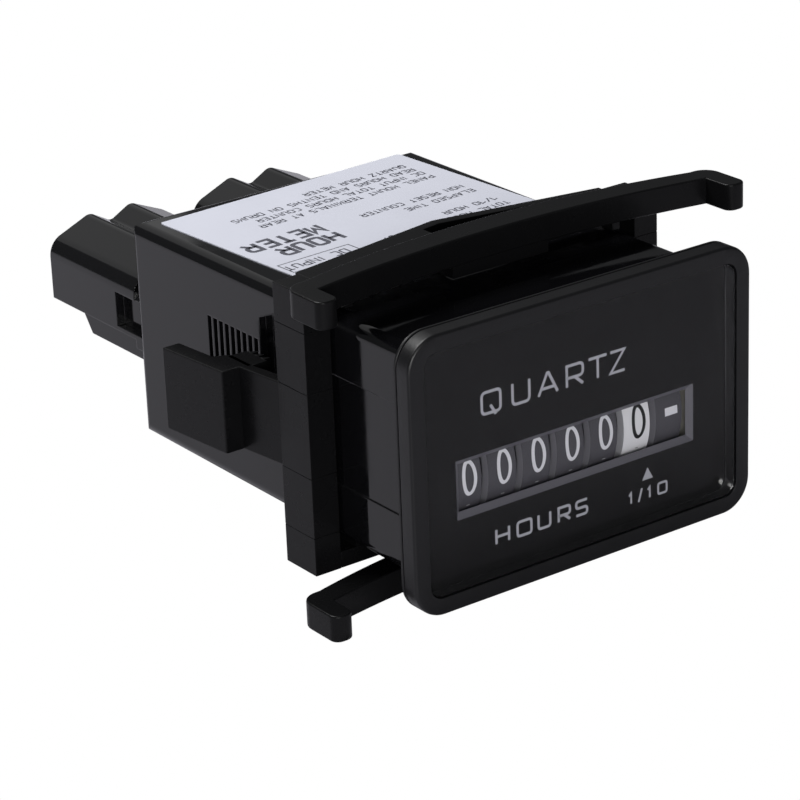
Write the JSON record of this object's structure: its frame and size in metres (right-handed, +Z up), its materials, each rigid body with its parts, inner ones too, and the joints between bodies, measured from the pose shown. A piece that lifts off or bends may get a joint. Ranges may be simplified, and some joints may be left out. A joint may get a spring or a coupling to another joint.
{
  "type": "hour meter",
  "caption": "Rectangular panel hour meter: drum counter behind a clear lens, long housing with rear blade sockets, and a sliding clip bracket with bowed springs and release levers.",
  "frame": {"origin": "middle of the bezel's rear face, in the plane where the bezel seats on its panel", "axes": "+Y back through the panel along the housing, +Z up on the face, +X to the right seen from the front"},
  "size_m": [0.0618, 0.0845, 0.041],
  "materials": {
    "moulded_black": "gloss moulded",
    "bracket_black": "gloss moulded",
    "clear_lens": "clear, polished",
    "dial_black": "printed, satin",
    "label_film": "satin film",
    "frame_cream": "moulded",
    "drum_black": "moulded",
    "drum_white": "moulded",
    "gear_natural": "moulded",
    "steel": "drawn",
    "bonded_magnet": "plastic-bonded ferrite",
    "bobbin_blue": "moulded",
    "enamelled_wire": "enamelled",
    "board_green": "solder mask",
    "chip_black": "moulded",
    "can_sleeve": "shrink sleeve",
    "resistor_tan": "lacquer",
    "tinned_brass": "stamped"
  },
  "bodies": {
    "meter": {"bezel": "moulded_black", "lens": "clear_lens", "dial_plate": "dial_black", "housing": "moulded_black", "label": "label_film", "counter_frame": "frame_cream", "drum_axle": "steel", "pinion_axle": "steel", "stator": "steel", "coil_bobbin": "bobbin_blue", "coil_winding": "enamelled_wire", "circuit_board": "board_green", "quartz_crystal": "steel", "driver_chip": "chip_black", "capacitor": "can_sleeve", "resistor": "resistor_tan", "terminal_1": "tinned_brass", "terminal_2": "tinned_brass", "terminal_3": "tinned_brass", "terminal_4": "tinned_brass"},
    "mounting_bracket_body": {"mounting_bracket": "bracket_black"},
    "tenths_drum_body": {"tenths_drum": "drum_white"},
    "drive_gear_body": {"drive_gear": "gear_natural"},
    "hours_drum_5_body": {"hours_drum_5": "drum_black"},
    "hours_drum_4_body": {"hours_drum_4": "drum_black"},
    "hours_drum_3_body": {"hours_drum_3": "drum_black"},
    "hours_drum_2_body": {"hours_drum_2": "drum_black"},
    "hours_drum_1_body": {"hours_drum_1": "drum_black"},
    "run_indicator_body": {"run_indicator": "drum_black"},
    "pinion_5_body": {"pinion_5": "gear_natural"},
    "pinion_4_body": {"pinion_4": "gear_natural"},
    "pinion_3_body": {"pinion_3": "gear_natural"},
    "pinion_2_body": {"pinion_2": "gear_natural"},
    "pinion_1_body": {"pinion_1": "gear_natural"},
    "second_gear_body": {"second_gear": "gear_natural"},
    "rotor_body": {"rotor": "bonded_magnet"}
  },
  "joints": [
    {"name": "bracket_slide", "type": "slide", "parent": "meter", "child": "mounting_bracket_body", "axis": [0, 1, 0], "range_m": [-0.0044, 0.007]},
    {"name": "tenths_drum_turn", "type": "hinge", "parent": "meter", "child": "tenths_drum_body", "pos_m": [0, 0.0085, -0.0033], "axis": [1, 0, 0], "continuous": true},
    {"name": "drive_gear_turn", "type": "hinge", "parent": "meter", "child": "drive_gear_body", "pos_m": [0, 0.01858, -0.0033], "axis": [1, 0, 0], "continuous": true},
    {"name": "hours_drum_5_turn", "type": "hinge", "parent": "meter", "child": "hours_drum_5_body", "pos_m": [0, 0.0085, -0.0033], "axis": [1, 0, 0], "continuous": true},
    {"name": "hours_drum_4_turn", "type": "hinge", "parent": "meter", "child": "hours_drum_4_body", "pos_m": [0, 0.0085, -0.0033], "axis": [1, 0, 0], "continuous": true},
    {"name": "hours_drum_3_turn", "type": "hinge", "parent": "meter", "child": "hours_drum_3_body", "pos_m": [0, 0.0085, -0.0033], "axis": [1, 0, 0], "continuous": true},
    {"name": "hours_drum_2_turn", "type": "hinge", "parent": "meter", "child": "hours_drum_2_body", "pos_m": [0, 0.0085, -0.0033], "axis": [1, 0, 0], "continuous": true},
    {"name": "hours_drum_1_turn", "type": "hinge", "parent": "meter", "child": "hours_drum_1_body", "pos_m": [0, 0.0085, -0.0033], "axis": [1, 0, 0], "continuous": true},
    {"name": "run_indicator_turn", "type": "hinge", "parent": "meter", "child": "run_indicator_body", "pos_m": [0, 0.0085, -0.0033], "axis": [1, 0, 0], "continuous": true},
    {"name": "pinion_5_turn", "type": "hinge", "parent": "meter", "child": "pinion_5_body", "pos_m": [0, 0.01858, -0.0033], "axis": [1, 0, 0], "continuous": true},
    {"name": "pinion_4_turn", "type": "hinge", "parent": "meter", "child": "pinion_4_body", "pos_m": [0, 0.01858, -0.0033], "axis": [1, 0, 0], "continuous": true},
    {"name": "pinion_3_turn", "type": "hinge", "parent": "meter", "child": "pinion_3_body", "pos_m": [0, 0.01858, -0.0033], "axis": [1, 0, 0], "continuous": true},
    {"name": "pinion_2_turn", "type": "hinge", "parent": "meter", "child": "pinion_2_body", "pos_m": [0, 0.01858, -0.0033], "axis": [1, 0, 0], "continuous": true},
    {"name": "pinion_1_turn", "type": "hinge", "parent": "meter", "child": "pinion_1_body", "pos_m": [0, 0.01858, -0.0033], "axis": [1, 0, 0], "continuous": true},
    {"name": "second_gear_turn", "type": "hinge", "parent": "meter", "child": "second_gear_body", "pos_m": [0, 0.02646, -0.00191], "axis": [1, 0, 0], "continuous": true},
    {"name": "rotor_turn", "type": "hinge", "parent": "meter", "child": "rotor_body", "pos_m": [0, 0.03395, -0.00059], "axis": [1, 0, 0], "continuous": true}
  ],
  "couplings": [
    {"joint": "drive_gear_turn", "follows": "tenths_drum_turn", "ratio": -2.5},
    {"joint": "hours_drum_5_turn", "follows": "tenths_drum_turn", "ratio": 0.1},
    {"joint": "hours_drum_4_turn", "follows": "tenths_drum_turn", "ratio": 0.01},
    {"joint": "hours_drum_3_turn", "follows": "tenths_drum_turn", "ratio": 0.001},
    {"joint": "hours_drum_2_turn", "follows": "tenths_drum_turn", "ratio": 0.0001},
    {"joint": "hours_drum_1_turn", "follows": "tenths_drum_turn", "ratio": 0.00001},
    {"joint": "run_indicator_turn", "follows": "tenths_drum_turn", "ratio": 3.3333},
    {"joint": "pinion_5_turn", "follows": "tenths_drum_turn", "ratio": -0.25},
    {"joint": "pinion_4_turn", "follows": "tenths_drum_turn", "ratio": -0.025},
    {"joint": "pinion_3_turn", "follows": "tenths_drum_turn", "ratio": -0.0025},
    {"joint": "pinion_2_turn", "follows": "tenths_drum_turn", "ratio": -0.00025},
    {"joint": "pinion_1_turn", "follows": "tenths_drum_turn", "ratio": -0.000025},
    {"joint": "second_gear_turn", "follows": "tenths_drum_turn", "ratio": 10},
    {"joint": "rotor_turn", "follows": "tenths_drum_turn", "ratio": -37.5}
  ]
}
